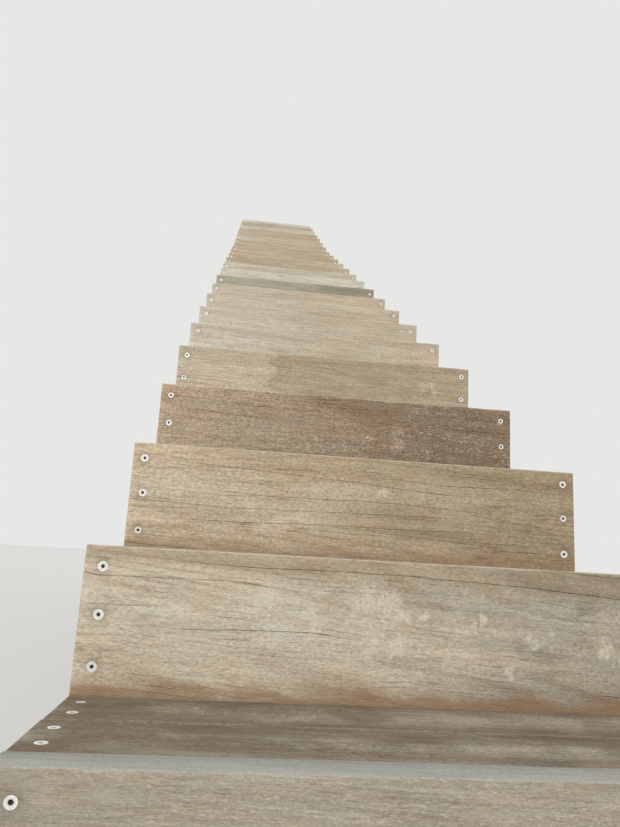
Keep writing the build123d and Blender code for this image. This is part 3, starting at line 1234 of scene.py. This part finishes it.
class STAIRS_OT_risers(bpy.types.Operator):
    """Make the riser boards, each weathered in its own way."""

    bl_idname = "stairs.risers"
    bl_label = "Risers"

    def execute(self, context):
        settings = context.scene.stair_boards
        for index, node in enumerate(RISERS):
            low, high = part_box(node)
            finish_name = RISER_FINISHES[index % len(RISER_FINISHES)]
            finish = FINISHES[finish_name]

            def place(x, across, depth, low=low):
                return (x, low.y + depth, low.z + across)

            timber = TimberMesh(settings)
            timber.add_board(high.x - low.x, high.z - low.z, high.y - low.y, place,
                             random.Random(f"{settings.seed} {node}"), finish)
            material = wood(finish_name, (0.0, -math.radians(finish.lean), 0.0), "riser")
            board = timber.finish(f"{node}_board", material, list(riser_screws(node)))
            seat(board, node)
        return {"FINISHED"}


class STAIRS_OT_treads(bpy.types.Operator):
    """Make the two boards of every tread."""

    bl_idname = "stairs.treads"
    bl_label = "Treads"

    def execute(self, context):
        settings = context.scene.stair_boards
        for index, node in enumerate(TREADS):
            low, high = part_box(node)
            width = tread_board_width(low, high)
            finish_name = TREAD_FINISHES[index % len(TREAD_FINISHES)]
            finish = FINISHES[finish_name]
            rng = random.Random(f"{settings.seed} {node}")
            timber = TimberMesh(settings)
            for near in (low.y, high.y - width):

                def place(x, across, depth, near=near, top=high.z):
                    return (x, near + across, top - depth)

                timber.add_board(high.x - low.x, width, high.z - low.z, place, rng, finish)
            material = wood(finish_name, (0.0, 0.0, math.radians(finish.lean)), "tread", trodden=True)
            boards = timber.finish(f"{node}_boards", material, list(tread_screws(node)))
            seat(boards, node)
        return {"FINISHED"}


class STAIRS_OT_stringers(bpy.types.Operator):
    """Make the sawtooth stringers and the cleats across their joints, the grain along the slope."""

    bl_idname = "stairs.stringers"
    bl_label = "Stringers"

    def execute(self, context):
        settings = context.scene.stair_boards
        finish = FINISHES["shaded"]
        for node in STRINGERS:
            low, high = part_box(node)
            outline = node_outline(node)
            outer = high.x if high.x > 0 else low.x

            def place(point, depth, outer=outer):
                return (outer - math.copysign(depth, outer), point.x, point.y)

            timber = TimberMesh(settings)
            timber.add_plank(outline, high.x - low.x, place, random.Random(f"{settings.seed} {node}"),
                             finish)
            material = wood("shaded", Underside(outline).turn, node.rsplit("_", 1)[1])
            seat(timber.finish(f"{node}_plank", material), node)
        for node in CLEATS:
            cleat = CleatPlace(node)
            rng = random.Random(f"{settings.seed} {node}")
            timber = TimberMesh(settings)
            for side in (-1, 1):

                def place(x, across, depth, side=side, cleat=cleat):
                    return cleat.point(side, x, across - cleat.width / 2, depth)

                timber.add_board(cleat.ruler.length, cleat.width, cleat.thickness, place, rng, finish)
            material = wood("shaded", cleat.ruler.turn, "cleat")
            boards = timber.finish(f"{node}_boards", material, list(cleat_screws(node)))
            seat(boards, node)
        return {"FINISHED"}


class STAIRS_OT_screws(bpy.types.Operator):
    """Drive the galvanised screws through the board ends."""

    bl_idname = "stairs.screws"
    bl_label = "Screws"

    def execute(self, context):
        steel = screw_material()
        head = screw_head(context.scene.stair_screws, steel)
        tree = screw_tree()
        cleats = [screw for node in CLEATS for screw in cleat_screws(node)]
        batches = {
            "riser_screws": [screw for node in RISERS for screw in riser_screws(node)],
            "tread_screws": [screw for node in TREADS for screw in tread_screws(node)],
            "cleat_screws_left": [screw for screw in cleats if screw[1].x > 0],
            "cleat_screws_right": [screw for screw in cleats if screw[1].x < 0],
        }
        for seed, (name, screws) in enumerate(batches.items()):
            drive(name, screws, tree, head, steel, seed)
        return {"FINISHED"}


# Stage

def light_world(settings):
    """Even white light on the flight, and the backdrop colour behind it."""
    world = bpy.data.worlds.new("Studio")
    world.use_nodes = True
    tree = world.node_tree
    tree.nodes.clear()
    rays = put(tree, "ShaderNodeLightPath")
    seen = maths(tree, "MAXIMUM", rays.outputs["Is Camera Ray"], rays.outputs["Is Glossy Ray"])
    seen = maths(tree, "MAXIMUM", seen, rays.outputs["Is Transmission Ray"])
    even = put(tree, "ShaderNodeBackground", in_Color=(1, 1, 1, 1), in_Strength=settings.ambient)
    shown = put(tree, "ShaderNodeBackground", in_Color=(*settings.backdrop, 1), in_Strength=1.0)
    mix = put(tree, "ShaderNodeMixShader", in_0=seen, in_1=even.outputs[0], in_2=shown.outputs[0])
    put(tree, "ShaderNodeOutputWorld", in_Surface=mix.outputs[0])
    bpy.context.scene.world = world


def lay_floor(settings):
    """A wide level floor under the flight's foot, pale and matt, that keeps its shadow."""
    material, _, shader = new_material("Studio floor")
    shader.inputs["Base Color"].default_value = (*settings.backdrop, 1)
    shader.inputs["Roughness"].default_value = 0.9
    shader.inputs["Specular IOR Level"].default_value = 0.0
    reach = 60.0
    mesh = bpy.data.meshes.new("Floor")
    mesh.from_pydata([(-reach, -reach, 0), (reach, -reach, 0), (reach, reach, 0), (-reach, reach, 0)],
                     [], [(0, 1, 2, 3)])
    mesh.materials.append(material)
    new_object("floor", mesh)


def hang_lamps(settings):
    """A broad key lamp from behind the camera, high and to its left."""
    lamp = bpy.data.lights.new("Key", "SUN")
    lamp.energy = settings.key
    lamp.angle = settings.key_spread
    lamp.color = settings.key_colour
    toward = Vector(settings.key_way).normalized()
    new_object("key", lamp).rotation_euler = toward.to_track_quat("-Z", "Y").to_euler()


def set_camera(settings):
    """The photograph's point of view."""
    lens = bpy.data.cameras.new("Camera")
    lens.sensor_fit = "VERTICAL"
    lens.lens = settings.focal_pixels / settings.frame_height * lens.sensor_height
    lens.clip_start = 0.01
    lens.clip_end = 200.0
    yaw, pitch, roll = settings.yaw, settings.pitch, settings.roll
    ahead = Vector((math.sin(yaw) * math.cos(pitch), math.cos(yaw) * math.cos(pitch), math.sin(pitch)))
    level = Vector((math.cos(yaw), -math.sin(yaw), 0.0))
    down = ahead.cross(level)
    right = math.cos(roll) * level + math.sin(roll) * down
    up = math.sin(roll) * level - math.cos(roll) * down
    turn = Matrix((right, up, -ahead)).transposed().to_4x4()
    camera = new_object("camera", lens)
    camera.matrix_world = Matrix.Translation(settings.camera_place) @ turn
    bpy.context.scene.camera = camera


class STAIRS_OT_stage(bpy.types.Operator):
    """Set the floor, lamps and camera."""

    bl_idname = "stairs.stage"
    bl_label = "Stage"

    def execute(self, context):
        settings = context.scene.stair_stage
        context.scene.view_settings.view_transform = "Standard"
        for make in (light_world, lay_floor, hang_lamps, set_camera):
            make(settings)
        return {"FINISHED"}


OPERATORS = (STAIRS_OT_risers, STAIRS_OT_treads, STAIRS_OT_stringers, STAIRS_OT_screws, STAIRS_OT_stage)


class STAIRS_PT_panel(bpy.types.Panel):
    """Lists the stair operators in the sidebar."""

    bl_label = "Stairs"
    bl_idname = "STAIRS_PT_panel"
    bl_space_type = "VIEW_3D"
    bl_region_type = "UI"
    bl_category = "Stairs"

    def draw(self, context):
        for operator in OPERATORS:
            self.layout.operator(operator.bl_idname)
        for label in SETTINGS:
            settings = getattr(context.scene, label)
            box = self.layout.box()
            for key in settings.bl_rna.properties.keys():
                if key not in ("rna_type", "name"):
                    box.prop(settings, key)


CLASSES = (*SETTINGS.values(), *OPERATORS, STAIRS_PT_panel)


def register():
    for item in CLASSES:
        bpy.utils.register_class(item)
    for label, group in SETTINGS.items():
        setattr(bpy.types.Scene, label, PointerProperty(type=group))


def unregister():
    for label in SETTINGS:
        delattr(bpy.types.Scene, label)
    for item in reversed(CLASSES):
        bpy.utils.unregister_class(item)


def main():
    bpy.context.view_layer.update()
    register()
    bpy.ops.stairs.risers()
    bpy.ops.stairs.treads()
    bpy.ops.stairs.stringers()
    bpy.ops.stairs.screws()
    bpy.ops.stairs.stage()


if __name__ == "__main__":
    main()
